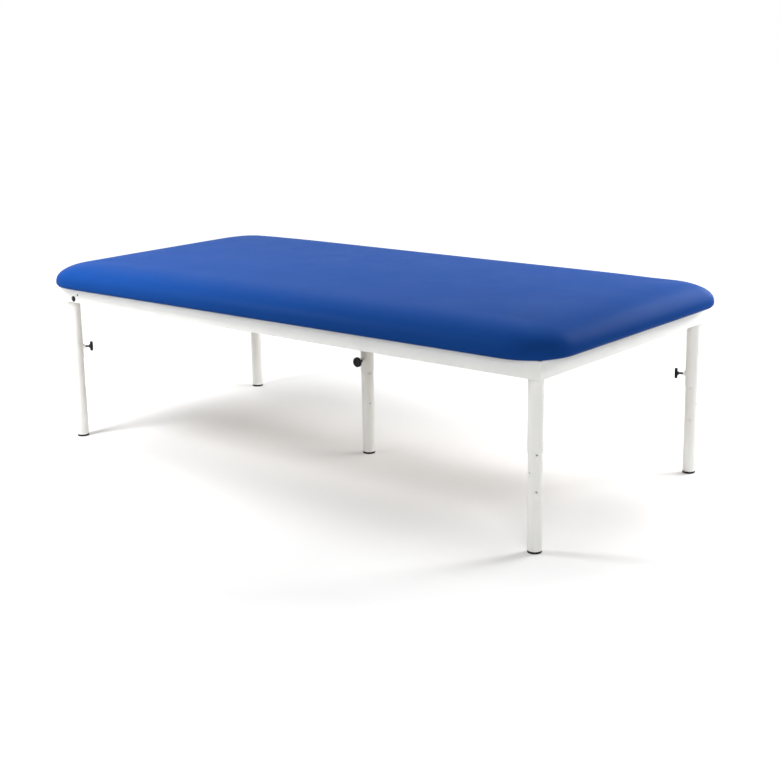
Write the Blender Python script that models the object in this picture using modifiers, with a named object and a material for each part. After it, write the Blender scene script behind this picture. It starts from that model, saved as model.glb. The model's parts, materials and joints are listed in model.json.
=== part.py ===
"""Bobath table: a padded treatment top on a steel frame with five telescopic legs.

Metres, +Z up. The origin is on the floor under the centre leg, +X runs along the
length, and the front long side faces -Y. The legs are drawn fully extended.
"""

import math

import bmesh
import bpy

# Padded top
TOP_LENGTH = 2.000
TOP_WIDTH = 1.000
TABLE_HEIGHT = 0.600
PAD_THICKNESS = 0.078
PAD_CORNER_RADIUS = 0.135
PAD_CREST_CORNER_RADIUS = 0.010
PAD_SHOULDER_WIDTH = 0.158
PAD_SHOULDER_FULLNESS = 2.3
PAD_LOWER_RADIUS = 0.0125
COVER_THICKNESS = 0.001
BOARD_THICKNESS = 0.018
BOARD_LIP = 0.005

# Frame of rectangular tube
OVERHANG = 0.040
RAIL_HEIGHT = 0.050
RAIL_WIDTH = 0.015
RAIL_WALL = 0.0015
RAIL_EDGE_RADIUS = 0.002

# Telescopic legs
SLEEVE_DIAMETER = 0.042
SLEEVE_WALL = 0.0012
SLEEVE_BELOW_FRAME = 0.200
POST_WALL = 0.0015
LEG_TRAVEL = 0.150
POST_END_CLEARANCE = 0.002
HOLE_DIAMETER = 0.005
HOLE_PITCH = 0.050
HOLE_COUNT = 4
TOP_HOLE_DEPTH = 0.0505
HOLE_TURN = math.radians(120)
HOLE_STEP = math.radians(-60)
FRONT_LEFT_POST_TURN = math.radians(-20)
FRONT_RIGHT_POST_TURN = math.radians(8)
REAR_RIGHT_POST_TURN = math.radians(21)
FOOT_HEIGHT = 0.006
FOOT_EDGE_RADIUS = 0.0015
FOOT_SPIGOT_LENGTH = 0.020

# Leg clamps
CLAMP_ABOVE_MOUTH = 0.038
CORNER_CLAMP_ANGLE = math.radians(48)
FRONT_RIGHT_CLAMP_ANGLE = math.radians(55)
REAR_RIGHT_CLAMP_ANGLE = math.radians(27)
BOSS_DIAMETER = 0.014
BOSS_LENGTH = 0.007
SCREW_DIAMETER = 0.008
SCREW_TIP_CHAMFER = 0.001
SCREW_SHOWN = 0.0125
KNOB_DIAMETER = 0.032
KNOB_THICKNESS = 0.009
KNOB_EDGE_RADIUS = 0.0025
KNOB_HUB_DIAMETER = 0.013
KNOB_HUB_LENGTH = 0.003
KNOB_SOCKET_DEPTH = 0.009

# Plug and open hole in the front rail
PLUG_DIAMETER = 0.0185
PLUG_HEAD_HEIGHT = 0.003
PLUG_HOLE_DIAMETER = 0.012
PLUG_SPIGOT_LENGTH = 0.006
PLUG_FROM_END = 0.0845
PLUG_ABOVE_RAIL_BOTTOM = 0.0125
OPEN_HOLE_DIAMETER = 0.0075
OPEN_HOLE_FROM_PLUG = 0.021
OPEN_HOLE_ABOVE_PLUG = 0.0145

# Board fastenings
TAB_LENGTH = 0.040
TAB_REACH = 0.026
TAB_THICKNESS = 0.003
WOOD_SCREW_DIAMETER = 0.005
WOOD_SCREW_GRIP = 0.012
WOOD_SCREW_HEAD_DIAMETER = 0.010
WOOD_SCREW_HEAD_HEIGHT = 0.003

# Clearances
SEAT_GAP = 0.0003
SLIDE_CLEARANCE = 0.0003
THREAD_CLEARANCE = 0.0003
CUT_MARGIN = 0.004

# Mesh fineness
TUBE_STEPS = 24
SMALL_STEPS = 16
HOLE_STEPS = 12
PAD_CORNER_STEPS = 7
PAD_SHOULDER_STEPS = 9
PAD_LOWER_STEPS = 3
EDGE_STEPS = 3
SMOOTH_ANGLE = math.radians(35)

# Places that follow from the sizes
FRAME_TOP = TABLE_HEIGHT - PAD_THICKNESS
FRAME_BOTTOM = FRAME_TOP - RAIL_HEIGHT
FRAME_HALF_LENGTH = TOP_LENGTH / 2 - OVERHANG
FRAME_HALF_WIDTH = TOP_WIDTH / 2 - OVERHANG
PAD_RIM = OVERHANG - BOARD_LIP
BOARD_HALF_LENGTH = TOP_LENGTH / 2 - PAD_RIM
BOARD_HALF_WIDTH = TOP_WIDTH / 2 - PAD_RIM
BOARD_CORNER_RADIUS = PAD_CORNER_RADIUS - PAD_RIM
SLEEVE_RADIUS = SLEEVE_DIAMETER / 2
BORE_RADIUS = SLEEVE_RADIUS - SLEEVE_WALL
POST_RADIUS = BORE_RADIUS - SLIDE_CLEARANCE
SLEEVE_MOUTH = FRAME_BOTTOM - SLEEVE_BELOW_FRAME
POST_BOTTOM = FOOT_HEIGHT + SEAT_GAP
POST_TOP = FRAME_TOP - LEG_TRAVEL - POST_END_CLEARANCE
LEG_INSET = RAIL_WIDTH + SEAT_GAP + SLEEVE_RADIUS
LEG_X = FRAME_HALF_LENGTH - LEG_INSET
LEG_Y = FRAME_HALF_WIDTH - LEG_INSET
CLAMP_HEIGHT = SLEEVE_MOUTH + CLAMP_ABOVE_MOUTH
BOSS_END = SLEEVE_RADIUS + BOSS_LENGTH
KNOB_START = BOSS_END + SCREW_SHOWN
KNOB_FACE = KNOB_START + KNOB_HUB_LENGTH + KNOB_THICKNESS
SCREW_HOLE_RADIUS = SCREW_DIAMETER / 2 + THREAD_CLEARANCE
CROSS_RAIL_FACE = SLEEVE_RADIUS + SEAT_GAP + RAIL_WIDTH
WOOD_SCREW_HOLE_RADIUS = WOOD_SCREW_DIAMETER / 2 + THREAD_CLEARANCE

# Each leg: its name, where it stands, which way its clamp points, the turn of its post from
# there, and the turn from one hole of the post to the next. One post stands the other way up.
LEGS = (
    ("front_left", -LEG_X, -LEG_Y, CORNER_CLAMP_ANGLE, FRONT_LEFT_POST_TURN, HOLE_STEP),
    (
        "front_right",
        LEG_X,
        -LEG_Y,
        math.pi - FRONT_RIGHT_CLAMP_ANGLE,
        FRONT_RIGHT_POST_TURN,
        -HOLE_STEP,
    ),
    (
        "rear_right",
        LEG_X,
        LEG_Y,
        math.pi + REAR_RIGHT_CLAMP_ANGLE,
        REAR_RIGHT_POST_TURN,
        HOLE_STEP,
    ),
    ("rear_left", -LEG_X, LEG_Y, -CORNER_CLAMP_ANGLE, 0, HOLE_STEP),
    ("centre", 0, 0, -math.pi / 2, 0, HOLE_STEP),
)


def clear_scene():
    for obj in list(bpy.data.objects):
        bpy.data.objects.remove(obj)


def new_collection(name):
    collection = bpy.data.collections.new(name)
    bpy.context.scene.collection.children.link(collection)
    return collection


def new_material(name, colour, roughness, metallic=0.0):
    material = bpy.data.materials.new(name)
    material.use_nodes = True
    shader = material.node_tree.nodes["Principled BSDF"]
    shader.inputs["Base Color"].default_value = (*colour, 1.0)
    shader.inputs["Roughness"].default_value = roughness
    shader.inputs["Metallic"].default_value = metallic
    return material


clear_scene()
PARTS = new_collection("bobath_table")
CUTTERS = new_collection("cutters")

BLUE_COVER = new_material("blue_cover", (0.024, 0.090, 0.360), 0.42)
FOAM = new_material("foam", (0.700, 0.640, 0.420), 0.90)
PLYWOOD = new_material("plywood", (0.560, 0.400, 0.230), 0.70)
WHITE_PAINT = new_material("white_paint", (0.800, 0.790, 0.770), 0.40)
BLACK_PLASTIC = new_material("black_plastic", (0.018, 0.018, 0.019), 0.50)
BLACK_RUBBER = new_material("black_rubber", (0.030, 0.030, 0.031), 0.75)
ZINC_STEEL = new_material("zinc_steel", (0.620, 0.620, 0.640), 0.32, 1.0)


def place(name, mesh, collection, location, turn, parent):
    obj = bpy.data.objects.new(name, mesh)
    collection.objects.link(obj)
    obj.location = location
    obj.rotation_euler = turn
    obj.parent = parent
    return obj


def add_part(name, mesh, material, location=(0, 0, 0), turn=(0, 0, 0), parent=None):
    mesh.materials.append(material)
    return place(name, mesh, PARTS, location, turn, parent)


def add_cutter(name, mesh, location=(0, 0, 0), turn=(0, 0, 0), parent=None):
    cutter = place(name, mesh, CUTTERS, location, turn, parent)
    cutter.hide_render = True
    cutter.display_type = "WIRE"
    return cutter


def add_axis(name, location, turn, parent=None):
    axis = place(name, None, PARTS, location, turn, parent)
    axis.empty_display_size = SLEEVE_DIAMETER
    return axis


def cut(obj, cutter):
    modifier = obj.modifiers.new(cutter.name, "BOOLEAN")
    modifier.operation = "DIFFERENCE"
    modifier.solver = "EXACT"
    modifier.object = cutter


def to_mesh(name, shape, smooth=False):
    mesh = bpy.data.meshes.new(name)
    shape.to_mesh(mesh)
    shape.free()
    if smooth:
        mesh.shade_smooth()
        mesh.set_sharp_from_angle(angle=SMOOTH_ANGLE)
    return mesh


def bevel_edges(shape, edges, radius, steps):
    bmesh.ops.bevel(
        shape,
        geom=edges,
        offset=radius,
        segments=steps,
        profile=0.5,
        affect="EDGES",
        material=-1,
    )


def box_mesh(name, low, high, corner_radius=0.0):
    """A box between two opposite corners, with its upright edges rounded if asked."""
    shape = bmesh.new()
    corners = bmesh.ops.create_cube(shape, size=1.0)["verts"]
    for corner in corners:
        for axis in range(3):
            corner.co[axis] = high[axis] if corner.co[axis] > 0 else low[axis]
    if corner_radius:
        upright = [e for e in shape.edges if e.verts[0].co.xy == e.verts[1].co.xy]
        bevel_edges(shape, upright, corner_radius, PAD_CORNER_STEPS)
    return to_mesh(name, shape)


def rod_mesh(name, radius, start, end, steps=HOLE_STEPS):
    """A round rod along Z."""
    shape = bmesh.new()
    ring = bmesh.ops.create_cone(
        shape,
        cap_ends=True,
        segments=steps,
        radius1=radius,
        radius2=radius,
        depth=end - start,
    )
    bmesh.ops.translate(shape, verts=ring["verts"], vec=(0, 0, (start + end) / 2))
    return to_mesh(name, shape, smooth=True)


def rounded(centre_radius, centre_height, radius, start, end):
    """Profile points round a corner, from one angle to another, in degrees."""
    points = []
    for step in range(EDGE_STEPS + 1):
        angle = math.radians(start + (end - start) * step / EDGE_STEPS)
        along = centre_radius + radius * math.cos(angle)
        points.append((along, centre_height + radius * math.sin(angle)))
    return points


def profile_mesh(name, points, closed):
    """A profile in the XZ plane, to be turned about Z."""
    shape = bmesh.new()
    corners = [shape.verts.new((radius, 0, height)) for radius, height in points]
    for first, second in zip(corners, corners[1:]):
        shape.edges.new((first, second))
    if closed:
        shape.edges.new((corners[-1], corners[0]))
    return to_mesh(name, shape)


def lathe(obj, steps):
    """Turns an object's profile right round its own Z."""
    modifier = obj.modifiers.new("turned", "SCREW")
    modifier.axis = "Z"
    modifier.steps = steps
    modifier.render_steps = steps
    modifier.use_merge_vertices = True
    modifier.merge_threshold = 0.00001
    modifier.use_smooth_shade = True
    return obj


def turned_part(name, points, material, parent, steps, location=(0, 0, 0), turn=(0, 0, 0)):
    """A solid turned from a profile that starts and ends on the axis."""
    mesh = profile_mesh(name, points, closed=False)
    return lathe(add_part(name, mesh, material, location, turn, parent), steps)


def ring_points(inner, outer, bottom, top):
    return [(outer, top), (outer, bottom), (inner, bottom), (inner, top)]


def ring_part(name, inner, outer, bottom, top, material, parent, steps):
    """A hollow tube along Z, with both ends open."""
    mesh = profile_mesh(name, ring_points(inner, outer, bottom, top), closed=True)
    return lathe(add_part(name, mesh, material, parent=parent), steps)


def pad_outline(inset):
    """The plan of the pad at a distance in from its widest line."""
    half_length = TOP_LENGTH / 2 - inset
    half_width = TOP_WIDTH / 2 - inset
    radius = max(PAD_CORNER_RADIUS - inset, PAD_CREST_CORNER_RADIUS)
    points = []
    for quarter in range(4):
        side_x = 1 if quarter in (0, 3) else -1
        side_y = 1 if quarter in (0, 1) else -1
        for step in range(PAD_CORNER_STEPS + 1):
            angle = (quarter + step / PAD_CORNER_STEPS) * math.pi / 2
            x = side_x * (half_length - radius) + radius * math.cos(angle)
            y = side_y * (half_width - radius) + radius * math.sin(angle)
            points.append((x, y))
    return points


def pad_profile(depth):
    """Inset and height of each line round the pad, from its flat bottom to its crest.

    The lines lie at a depth under the pad's outer surface. The shoulder is a quarter of an
    ellipse at a fullness of 2, and squarer above that.
    """
    widest = FRAME_TOP + SEAT_GAP + PAD_LOWER_RADIUS
    lower_radius = PAD_LOWER_RADIUS - depth
    shoulder_width = PAD_SHOULDER_WIDTH - depth
    shoulder_height = TABLE_HEIGHT - widest - depth
    lines = []
    for step in range(PAD_LOWER_STEPS):
        angle = step / PAD_LOWER_STEPS * math.pi / 2
        inset = PAD_LOWER_RADIUS - lower_radius * math.sin(angle)
        lines.append((inset, widest - lower_radius * math.cos(angle)))
    power = 2 / PAD_SHOULDER_FULLNESS
    for step in range(PAD_SHOULDER_STEPS + 1):
        angle = step / PAD_SHOULDER_STEPS * math.pi / 2
        run = abs(math.cos(angle)) ** power
        rise = math.sin(angle) ** power
        lines.append((PAD_SHOULDER_WIDTH - shoulder_width * run, widest + shoulder_height * rise))
    return lines


def pad_mesh(name, depth):
    shape = bmesh.new()
    rings = []
    for inset, height in pad_profile(depth):
        rings.append([shape.verts.new((x, y, height)) for x, y in pad_outline(inset)])
    for low, high in zip(rings, rings[1:]):
        for i in range(len(low)):
            shape.faces.new((low[i - 1], low[i], high[i], high[i - 1]))
    shape.faces.new(list(reversed(rings[0])))
    shape.faces.new(rings[-1])
    return to_mesh(name, shape, smooth=True)


def make_mattress():
    """The coated cover and the foam inside it, both open at the bottom for the board."""
    half_length = BOARD_HALF_LENGTH + SEAT_GAP
    half_width = BOARD_HALF_WIDTH + SEAT_GAP
    recess_mesh = box_mesh(
        "board_recess",
        (-half_length, -half_width, FRAME_TOP - CUT_MARGIN),
        (half_length, half_width, FRAME_TOP + SEAT_GAP + BOARD_THICKNESS + SEAT_GAP),
        BOARD_CORNER_RADIUS + SEAT_GAP,
    )
    recess = add_cutter("board_recess", recess_mesh)
    cover = add_part("mattress_cover", pad_mesh("mattress_cover", 0), BLUE_COVER)
    inside = add_cutter("cover_inside", pad_mesh("cover_inside", COVER_THICKNESS))
    cut(cover, inside)
    cut(cover, recess)
    foam_mesh = pad_mesh("mattress_foam", COVER_THICKNESS + SEAT_GAP)
    foam = add_part("mattress_foam", foam_mesh, FOAM)
    cut(foam, recess)


def make_board():
    bottom = FRAME_TOP + SEAT_GAP
    mesh = box_mesh(
        "base_board",
        (-BOARD_HALF_LENGTH, -BOARD_HALF_WIDTH, bottom),
        (BOARD_HALF_LENGTH, BOARD_HALF_WIDTH, bottom + BOARD_THICKNESS),
        BOARD_CORNER_RADIUS,
    )
    return add_part("base_board", mesh, PLYWOOD)


def rail_mesh(name, half_length, mitred):
    """A bar along X with rounded long edges, its outer face on Y = 0 and its bottom on Z = 0."""
    shape = bmesh.new()
    bmesh.ops.create_cube(shape, size=1.0)
    bmesh.ops.translate(shape, verts=shape.verts, vec=(0, 0.5, 0.5))
    bmesh.ops.scale(shape, verts=shape.verts, vec=(2 * half_length, RAIL_WIDTH, RAIL_HEIGHT))
    long_edges = [e for e in shape.edges if e.verts[0].co.x * e.verts[1].co.x < 0]
    bevel_edges(shape, long_edges, RAIL_EDGE_RADIUS, EDGE_STEPS)
    for corner in shape.verts:
        shortening = corner.co.y + SEAT_GAP / math.sqrt(2) if mitred else SEAT_GAP
        corner.co.x -= math.copysign(shortening, corner.co.x)
    return to_mesh(name, shape, smooth=True)


def make_rail(name, half_length, mitred, location, angle):
    heading = (0, 0, angle)
    mesh = rail_mesh(name, half_length, mitred)
    rail = add_part(name, mesh, WHITE_PAINT, location, heading)
    hollow = box_mesh(
        name + "_hollow",
        (-half_length - CUT_MARGIN, RAIL_WALL, RAIL_WALL),
        (half_length + CUT_MARGIN, RAIL_WIDTH - RAIL_WALL, RAIL_HEIGHT - RAIL_WALL),
    )
    cut(rail, add_cutter(name + "_hollow", hollow, location, heading))
    return rail


def make_frame():
    """The four mitred rails and the pair of cross rails. Gives back the front rail."""
    quarter = math.pi / 2
    front = make_rail(
        "front_rail", FRAME_HALF_LENGTH, True, (0, -FRAME_HALF_WIDTH, FRAME_BOTTOM), 0
    )
    make_rail(
        "right_rail", FRAME_HALF_WIDTH, True, (FRAME_HALF_LENGTH, 0, FRAME_BOTTOM), quarter
    )
    make_rail(
        "rear_rail", FRAME_HALF_LENGTH, True, (0, FRAME_HALF_WIDTH, FRAME_BOTTOM), 2 * quarter
    )
    make_rail(
        "left_rail", FRAME_HALF_WIDTH, True, (-FRAME_HALF_LENGTH, 0, FRAME_BOTTOM), 3 * quarter
    )
    half_span = FRAME_HALF_WIDTH - RAIL_WIDTH
    make_rail(
        "right_cross_rail", half_span, False, (CROSS_RAIL_FACE, 0, FRAME_BOTTOM), quarter
    )
    make_rail(
        "left_cross_rail", half_span, False, (-CROSS_RAIL_FACE, 0, FRAME_BOTTOM), 3 * quarter
    )
    return front


def make_plug(front_rail):
    """The black plug near the left end of the front rail, and the open hole beside it."""
    facing_front = (math.pi / 2, 0, 0)
    plug_x = -FRAME_HALF_LENGTH + PLUG_FROM_END
    plug_z = FRAME_BOTTOM + PLUG_ABOVE_RAIL_BOTTOM
    plug_place = (plug_x, -FRAME_HALF_WIDTH, plug_z)
    hole_place = (
        plug_x + OPEN_HOLE_FROM_PLUG,
        -FRAME_HALF_WIDTH,
        plug_z + OPEN_HOLE_ABOVE_PLUG,
    )
    holes = (
        ("plug_hole", PLUG_HOLE_DIAMETER / 2, plug_place),
        ("open_hole", OPEN_HOLE_DIAMETER / 2, hole_place),
    )
    for name, radius, location in holes:
        mesh = rod_mesh(name, radius, -RAIL_WALL - CUT_MARGIN, CUT_MARGIN, SMALL_STEPS)
        cut(front_rail, add_cutter(name, mesh, location, facing_front))
    spigot_radius = PLUG_HOLE_DIAMETER / 2 - SEAT_GAP
    head_radius = PLUG_DIAMETER / 2
    edge_radius = PLUG_HEAD_HEIGHT - SEAT_GAP
    points = [(0, PLUG_HEAD_HEIGHT)]
    points += rounded(head_radius - edge_radius, SEAT_GAP, edge_radius, 90, 0)
    points += [
        (spigot_radius, SEAT_GAP),
        (spigot_radius, -PLUG_SPIGOT_LENGTH),
        (0, -PLUG_SPIGOT_LENGTH),
    ]
    turned_part(
        "rail_plug", points, BLACK_PLASTIC, None, SMALL_STEPS, plug_place, facing_front
    )


def make_fastening(name, board, location, angle):
    """A tab on the inside of a rail, and the wood screw that holds the board to it."""
    heading = (0, 0, angle)
    tab_mesh = box_mesh(
        name + "_board_tab",
        (-TAB_LENGTH / 2, SEAT_GAP, -TAB_THICKNESS),
        (TAB_LENGTH / 2, TAB_REACH, 0),
    )
    tab = add_part(name + "_board_tab", tab_mesh, WHITE_PAINT, location, heading)
    screw_axis = add_axis(name + "_board_screw_axis", (0, TAB_REACH / 2, 0), (0, 0, 0), tab)
    tip = SEAT_GAP + WOOD_SCREW_GRIP
    hole = rod_mesh(
        name + "_board_hole", WOOD_SCREW_HOLE_RADIUS, -TAB_THICKNESS - CUT_MARGIN, tip + SEAT_GAP
    )
    cutter = add_cutter(name + "_board_hole", hole, parent=screw_axis)
    cut(tab, cutter)
    cut(board, cutter)
    seat = -TAB_THICKNESS - SEAT_GAP
    head_radius = WOOD_SCREW_HEAD_DIAMETER / 2
    shank_radius = WOOD_SCREW_DIAMETER / 2
    points = [
        (0, tip),
        (shank_radius, tip - shank_radius),
        (shank_radius, seat),
        (head_radius, seat),
        (head_radius, seat - WOOD_SCREW_HEAD_HEIGHT / 2),
        (shank_radius, seat - WOOD_SCREW_HEAD_HEIGHT),
        (0, seat - WOOD_SCREW_HEAD_HEIGHT),
    ]
    turned_part(name + "_board_screw", points, ZINC_STEEL, screw_axis, HOLE_STEPS)


def make_fastenings(board):
    quarter = math.pi / 2
    inner_x = FRAME_HALF_LENGTH - RAIL_WIDTH
    inner_y = FRAME_HALF_WIDTH - RAIL_WIDTH
    middle = FRAME_HALF_LENGTH / 2
    make_fastening("front_left", board, (-middle, -inner_y, FRAME_TOP), 0)
    make_fastening("front_right", board, (middle, -inner_y, FRAME_TOP), 0)
    make_fastening("right", board, (inner_x, 0, FRAME_TOP), quarter)
    make_fastening("rear_right", board, (middle, inner_y, FRAME_TOP), 2 * quarter)
    make_fastening("rear_left", board, (-middle, inner_y, FRAME_TOP), 2 * quarter)
    make_fastening("left", board, (-inner_x, 0, FRAME_TOP), 3 * quarter)


def make_sleeve(name, leg):
    """The upper leg tube. Its clamp hole faces the leg's own +X."""
    return ring_part(
        name + "_sleeve",
        BORE_RADIUS,
        SLEEVE_RADIUS,
        SLEEVE_MOUTH,
        FRAME_TOP,
        WHITE_PAINT,
        leg,
        TUBE_STEPS,
    )


def make_post(name, leg, turn, step):
    """The lower leg tube, with holes right through it in two alternating directions."""
    post = ring_part(
        name + "_post",
        POST_RADIUS - POST_WALL,
        POST_RADIUS,
        POST_BOTTOM,
        POST_TOP,
        WHITE_PAINT,
        leg,
        TUBE_STEPS,
    )
    reach = POST_RADIUS + CUT_MARGIN
    for number in range(HOLE_COUNT):
        height = POST_TOP - TOP_HOLE_DEPTH - number * HOLE_PITCH
        heading = turn + HOLE_TURN + number % 2 * step
        hole_name = f"{name}_hole_{number + 1}"
        mesh = rod_mesh(hole_name, HOLE_DIAMETER / 2, -reach, reach)
        angle = (0, math.pi / 2, heading)
        cut(post, add_cutter(hole_name, mesh, (0, 0, height), angle, leg))


def make_foot(name, leg):
    spigot_radius = POST_RADIUS - POST_WALL - SEAT_GAP
    points = [
        (0, FOOT_HEIGHT + FOOT_SPIGOT_LENGTH),
        (spigot_radius, FOOT_HEIGHT + FOOT_SPIGOT_LENGTH),
        (spigot_radius, FOOT_HEIGHT),
        (POST_RADIUS, FOOT_HEIGHT),
    ]
    points += rounded(POST_RADIUS - FOOT_EDGE_RADIUS, FOOT_EDGE_RADIUS, FOOT_EDGE_RADIUS, 0, -90)
    points.append((0, 0))
    turned_part(name + "_foot", points, BLACK_RUBBER, leg, TUBE_STEPS)


def make_clamp(name, leg, sleeve):
    """Boss, screw and knob, turned about the clamp's own axis, which points out of the sleeve."""
    clamp = add_axis(name + "_clamp_axis", (0, 0, CLAMP_HEIGHT), (0, math.pi / 2, 0), leg)

    hole = rod_mesh(
        name + "_clamp_hole",
        SCREW_HOLE_RADIUS,
        BORE_RADIUS - CUT_MARGIN,
        SLEEVE_RADIUS + CUT_MARGIN,
    )
    cut(sleeve, add_cutter(name + "_clamp_hole", hole, parent=clamp))

    saddle_depth = math.sqrt(SLEEVE_RADIUS**2 - (BOSS_DIAMETER / 2) ** 2)
    points = ring_points(
        SCREW_HOLE_RADIUS, BOSS_DIAMETER / 2, saddle_depth - SLEEVE_WALL, BOSS_END
    )
    boss_mesh = profile_mesh(name + "_clamp_boss", points, closed=True)
    boss = add_part(name + "_clamp_boss", boss_mesh, WHITE_PAINT, parent=clamp)
    lathe(boss, SMALL_STEPS)
    saddle = rod_mesh(
        name + "_saddle",
        SLEEVE_RADIUS + SEAT_GAP,
        CLAMP_HEIGHT - BOSS_DIAMETER,
        CLAMP_HEIGHT + BOSS_DIAMETER,
        TUBE_STEPS,
    )
    cut(boss, add_cutter(name + "_saddle", saddle, parent=leg))

    tip = POST_RADIUS + SEAT_GAP
    screw_radius = SCREW_DIAMETER / 2
    screw_end = KNOB_START + KNOB_SOCKET_DEPTH - SEAT_GAP
    points = [
        (0, screw_end),
        (screw_radius, screw_end),
        (screw_radius, tip + SCREW_TIP_CHAMFER),
        (screw_radius - SCREW_TIP_CHAMFER, tip),
        (0, tip),
    ]
    turned_part(name + "_clamp_screw", points, ZINC_STEEL, clamp, HOLE_STEPS)

    knob_radius = KNOB_DIAMETER / 2
    knob_back = KNOB_START + KNOB_HUB_LENGTH
    socket_radius = screw_radius + SEAT_GAP
    inset = knob_radius - KNOB_EDGE_RADIUS
    points = [(0, KNOB_FACE)]
    points += rounded(inset, KNOB_FACE - KNOB_EDGE_RADIUS, KNOB_EDGE_RADIUS, 90, 0)
    points += rounded(inset, knob_back + KNOB_EDGE_RADIUS, KNOB_EDGE_RADIUS, 0, -90)
    points += [
        (KNOB_HUB_DIAMETER / 2, knob_back),
        (KNOB_HUB_DIAMETER / 2, KNOB_START),
        (socket_radius, KNOB_START),
        (socket_radius, KNOB_START + KNOB_SOCKET_DEPTH),
        (0, KNOB_START + KNOB_SOCKET_DEPTH),
    ]
    turned_part(name + "_clamp_knob", points, BLACK_PLASTIC, clamp, TUBE_STEPS)


def make_leg(name, x, y, clamp_angle, post_turn, hole_step):
    leg = add_axis(name + "_leg_axis", (x, y, 0), (0, 0, clamp_angle))
    sleeve = make_sleeve(name, leg)
    make_post(name, leg, post_turn, hole_step)
    make_foot(name, leg)
    make_clamp(name, leg, sleeve)


make_mattress()
base_board = make_board()
make_plug(make_frame())
make_fastenings(base_board)
for leg_values in LEGS:
    make_leg(*leg_values)
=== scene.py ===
"""Looks of a bobath table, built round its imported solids.

A blue coated mattress lies on a plywood board and a white powder-coated frame, which
stands on five telescopic legs with hand clamps. Metres, +Z up, front long side at -Y.
"""

import json
import math

import bmesh
import bpy
from mathutils import Matrix, Vector


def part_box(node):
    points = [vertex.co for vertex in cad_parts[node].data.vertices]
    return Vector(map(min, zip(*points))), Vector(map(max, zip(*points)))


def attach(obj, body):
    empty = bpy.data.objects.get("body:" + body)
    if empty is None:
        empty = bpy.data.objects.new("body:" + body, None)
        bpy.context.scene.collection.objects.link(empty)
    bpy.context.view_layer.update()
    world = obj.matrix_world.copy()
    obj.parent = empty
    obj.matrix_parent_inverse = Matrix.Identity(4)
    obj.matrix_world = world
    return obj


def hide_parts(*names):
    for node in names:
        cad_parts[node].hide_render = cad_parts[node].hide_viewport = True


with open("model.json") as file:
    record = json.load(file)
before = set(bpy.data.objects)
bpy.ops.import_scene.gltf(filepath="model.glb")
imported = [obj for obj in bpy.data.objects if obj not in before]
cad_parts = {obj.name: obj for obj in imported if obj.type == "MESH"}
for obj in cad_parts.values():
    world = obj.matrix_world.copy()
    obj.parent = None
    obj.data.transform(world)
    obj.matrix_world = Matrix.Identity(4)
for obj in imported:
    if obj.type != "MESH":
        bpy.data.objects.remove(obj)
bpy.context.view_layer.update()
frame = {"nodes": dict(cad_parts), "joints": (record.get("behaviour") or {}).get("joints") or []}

# Camera, as fitted to the photograph
CAMERA_PLACE = (2.830, -3.307, 1.328)
CAMERA_AZIMUTH = math.radians(39.62)
CAMERA_ELEVATION = math.radians(14.456)
CAMERA_ROLL = math.radians(-0.984)
CAMERA_LENS = 64.55
CAMERA_SENSOR = 36.0

# Lamps: name, place, target, width, height, watts, seen in reflections
LAMPS = (
    ("left_front_softbox", (-1.2, -1.6, 1.1), (-0.85, -0.45, 0.5), 0.7, 0.6, 9, True),
    ("left_end_softbox", (-1.05, -1.25, 1.6), (-0.85, -0.4, 0.55), 0.5, 0.5, 27, True),
    ("front_fill", (2.9, -2.8, 1.6), (0.8, -0.3, 0.3), 1.4, 1.0, 52, False),
    ("top_rear_softbox", (0.4, 1.7, 2.2), (0.2, 0, 0.55), 2.0, 1.2, 31, False),
    ("top_middle_softbox", (0.2, -0.3, 2.4), (0.2, 0, 0.6), 1.8, 1.2, 15, False),
    ("top_left_softbox", (-1.5, 0.2, 2.6), (-0.4, 0, 0.5), 1.6, 1.6, 40, False),
    ("right_rear_fill", (1.7, 1.3, 1.3), (0.97, 0.4, 0.52), 0.6, 0.6, 16, False),
    ("right_corner_softbox", (1.25, 1.35, 1.1), (0.95, 0.35, 0.56), 1.3, 1.0, 25, True),
)
AMBIENT = 0.02

# Floor, with a glow that grows between two distances from the origin
FLOOR_REACH = 40.0
FLOOR_GAP = 0.0004
FLOOR_COLOUR = (0.8, 0.8, 0.8, 1.0)
FLOOR_SPOT = (1.2, 3.5)
FLOOR_GLOW = (0.12, 1.0)
WHITE = (1, 1, 1, 1)

# Mattress
CORNER_RADIUS = 0.135
CREST_CORNER_RADIUS = 0.010
SHOULDER_WIDTH = 0.158
FULLNESS = 2.3
FULLER_AT_FRONT = 0.35
FULLER_AT_RIGHT = 0.2
LOWER_RADIUS = 0.0125
TOP_COLUMNS = 104
TOP_ROWS = 42
SHOULDER_STEPS = 14
LOWER_STEPS = 6
RIM_STEPS = 3
RIM_EDGE = 0.001
CROWN = 0.003
CORNER_DROP = 0.004
CORNER_ZONE = 0.6
CLOTH_FRAMES = 20
CLOTH_SMOOTH_ANGLE = math.radians(60)

# Frame of rectangular tube
RAIL_EDGE_RADIUS = 0.002
FRAME_CORNER_RADIUS = 0.004
FRAME_INNER_RADIUS = 0.0008
EDGE_STEPS = 4
RAIL_WALL = 0.0015
RAIL_HOLLOW = 0.045
OPEN_HOLE_RADIUS = 0.00375
OPEN_HOLE_FROM_PLUG = 0.021
OPEN_HOLE_ABOVE_PLUG = 0.0145
PLUG_HOLE_RADIUS = 0.006
PLUG_EDGE_RADIUS = 0.0009
PLUG_DOME = ((0.45, 0.0001), (0.75, 0.0006))
PLUG_STEPS = 64

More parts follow.
